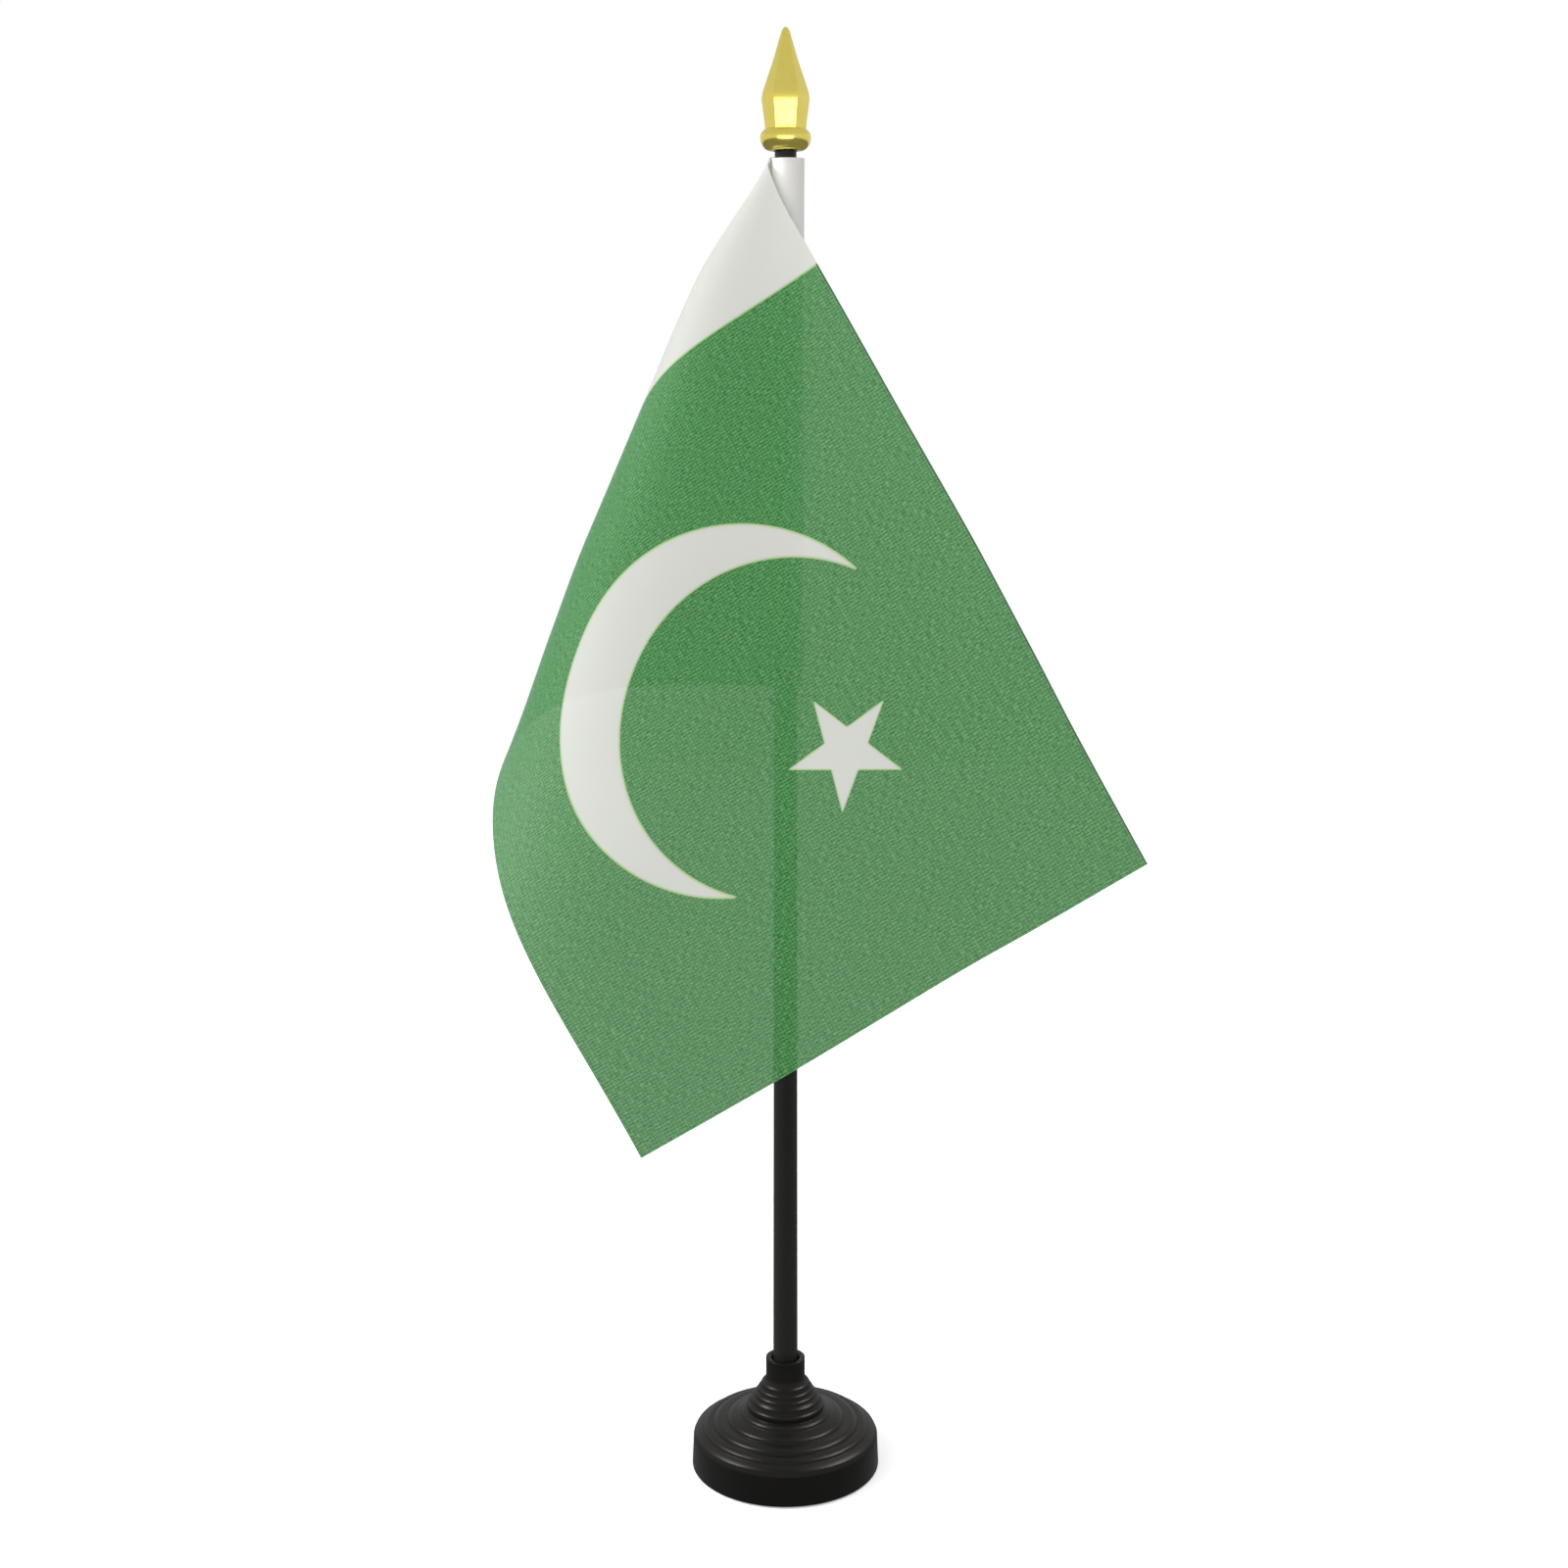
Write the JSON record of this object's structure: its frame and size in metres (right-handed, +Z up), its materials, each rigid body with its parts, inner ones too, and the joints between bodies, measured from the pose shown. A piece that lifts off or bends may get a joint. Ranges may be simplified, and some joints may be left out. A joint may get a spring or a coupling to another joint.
{
  "type": "desk flag stand",
  "caption": "Stepped round weighted base with a tapered pole, a spear finial and a small printed cloth flag hanging from a sewn sleeve.",
  "frame": {"origin": "middle of the flat underside of the foot pad, on the surface that the stand rests on", "axes": "+Z up along the pole, -X towards the side to which the cloth leaves its sleeve, -Y towards the side on which the flag's front shows"},
  "size_m": [0.1179, 0.0917, 0.2907],
  "materials": {
    "base_plastic": "satin moulded black",
    "ballast_steel": "plain stamped steel",
    "pad_foam": "matt black foam rubber",
    "pole_plastic": "satin moulded black",
    "finial_gold": "bright gold plating on moulded plastic",
    "flag_fabric": "light plain-weave polyester, printed green with a white hoist stripe and a white crescent and star",
    "sleeve_fabric": "light plain-weave polyester, white",
    "seam_thread": "white sewing thread"
  },
  "bodies": {
    "base": {"base_shell": "base_plastic", "ballast_disc": "ballast_steel", "foot_pad": "pad_foam"},
    "pole": {"pole": "pole_plastic"},
    "flag": {"flag_cloth": "flag_fabric", "flag_sleeve": "sleeve_fabric", "sleeve_stitching": "seam_thread"},
    "finial": {"finial": "finial_gold"}
  },
  "joints": [
    {"name": "pole_lift", "type": "slide", "parent": "base", "child": "pole", "axis": [0, 0, 1], "range_m": [0, 0.022]},
    {"name": "flag_turn", "type": "hinge", "parent": "pole", "child": "flag", "pos_m": [0, 0, 0.2], "axis": [0, 0, 1], "continuous": true},
    {"name": "finial_pull", "type": "slide", "parent": "pole", "child": "finial", "axis": [0, 0, 1], "range_m": [0, 0.012]}
  ]
}
